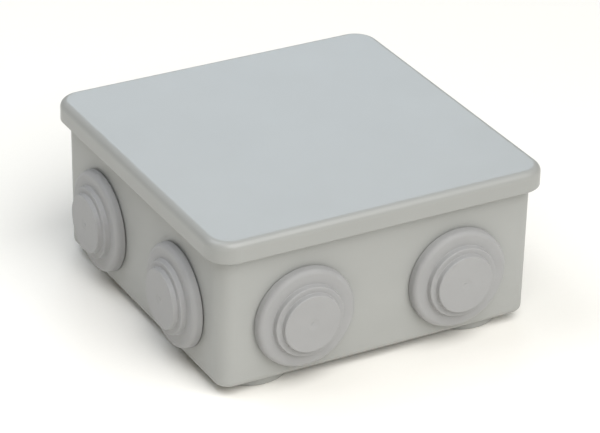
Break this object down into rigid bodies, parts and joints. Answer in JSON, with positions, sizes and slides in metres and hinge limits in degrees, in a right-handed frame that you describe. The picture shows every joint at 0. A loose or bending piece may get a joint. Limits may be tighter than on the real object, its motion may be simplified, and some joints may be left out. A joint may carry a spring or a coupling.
{
  "type": "electrical junction box",
  "caption": "Square surface-mounted junction box with a press-on lid, stepped cable grommets on all sides and a screw terminal strip inside.",
  "frame": {"origin": "middle of the plane that the four pads stand on, in the middle of the box", "axes": "+Z out of the lid, +X to the right and +Y to the back as seen from the front side"},
  "size_m": [0.1126, 0.1126, 0.0501],
  "materials": {
    "housing_plastic": "satin moulded grey",
    "lid_plastic": "satin moulded light grey",
    "grommet_rubber": "soft matt grey",
    "seal_rubber": "matt black foam rubber",
    "cap_plastic": "satin moulded grey",
    "terminal_plastic": "natural off-white",
    "barrel_brass": "turned",
    "screw_steel": "zinc plated"
  },
  "bodies": {
    "base": {"base_housing": "housing_plastic", "grommet_front_left": "grommet_rubber", "grommet_front_right": "grommet_rubber", "grommet_right_front": "grommet_rubber", "grommet_right_back": "grommet_rubber", "grommet_back_right": "grommet_rubber", "grommet_back_left": "grommet_rubber", "grommet_left_back": "grommet_rubber", "grommet_left_front": "grommet_rubber", "terminal_body": "terminal_plastic", "terminal_barrel_1": "barrel_brass", "terminal_barrel_2": "barrel_brass", "terminal_barrel_3": "barrel_brass", "strip_screw_left": "screw_steel", "strip_screw_right": "screw_steel"},
    "lid": {"lid": "lid_plastic", "lid_gasket": "seal_rubber"},
    "screw_cap_front_left": {"screw_cap_front_left": "cap_plastic"},
    "screw_cap_back_left": {"screw_cap_back_left": "cap_plastic"},
    "screw_cap_front_right": {"screw_cap_front_right": "cap_plastic"},
    "screw_cap_back_right": {"screw_cap_back_right": "cap_plastic"},
    "clamp_screw_1_front": {"clamp_screw_1_front": "screw_steel"},
    "clamp_screw_1_back": {"clamp_screw_1_back": "screw_steel"},
    "clamp_screw_2_front": {"clamp_screw_2_front": "screw_steel"},
    "clamp_screw_2_back": {"clamp_screw_2_back": "screw_steel"},
    "clamp_screw_3_front": {"clamp_screw_3_front": "screw_steel"},
    "clamp_screw_3_back": {"clamp_screw_3_back": "screw_steel"}
  },
  "joints": [
    {"name": "lid_lift", "type": "slide", "parent": "base", "child": "lid", "axis": [0, 0, 1], "range_m": [0, 0.06]},
    {"name": "screw_cap_front_left_lift", "type": "slide", "parent": "base", "child": "screw_cap_front_left", "axis": [0, 0, 1], "range_m": [0, 0.02]},
    {"name": "screw_cap_back_left_lift", "type": "slide", "parent": "base", "child": "screw_cap_back_left", "axis": [0, 0, 1], "range_m": [0, 0.02]},
    {"name": "screw_cap_front_right_lift", "type": "slide", "parent": "base", "child": "screw_cap_front_right", "axis": [0, 0, 1], "range_m": [0, 0.02]},
    {"name": "screw_cap_back_right_lift", "type": "slide", "parent": "base", "child": "screw_cap_back_right", "axis": [0, 0, 1], "range_m": [0, 0.02]},
    {"name": "clamp_screw_1_front_turn", "type": "hinge", "parent": "base", "child": "clamp_screw_1_front", "pos_m": [-0.012, -0.0052, 0.014], "axis": [0, 0, 1], "range_deg": [0, 810]},
    {"name": "clamp_screw_1_back_turn", "type": "hinge", "parent": "base", "child": "clamp_screw_1_back", "pos_m": [-0.012, 0.0052, 0.014], "axis": [0, 0, 1], "range_deg": [0, 810]},
    {"name": "clamp_screw_2_front_turn", "type": "hinge", "parent": "base", "child": "clamp_screw_2_front", "pos_m": [0, -0.0052, 0.014], "axis": [0, 0, 1], "range_deg": [0, 810]},
    {"name": "clamp_screw_2_back_turn", "type": "hinge", "parent": "base", "child": "clamp_screw_2_back", "pos_m": [0, 0.0052, 0.014], "axis": [0, 0, 1], "range_deg": [0, 810]},
    {"name": "clamp_screw_3_front_turn", "type": "hinge", "parent": "base", "child": "clamp_screw_3_front", "pos_m": [0.012, -0.0052, 0.014], "axis": [0, 0, 1], "range_deg": [0, 810]},
    {"name": "clamp_screw_3_back_turn", "type": "hinge", "parent": "base", "child": "clamp_screw_3_back", "pos_m": [0.012, 0.0052, 0.014], "axis": [0, 0, 1], "range_deg": [0, 810]}
  ]
}
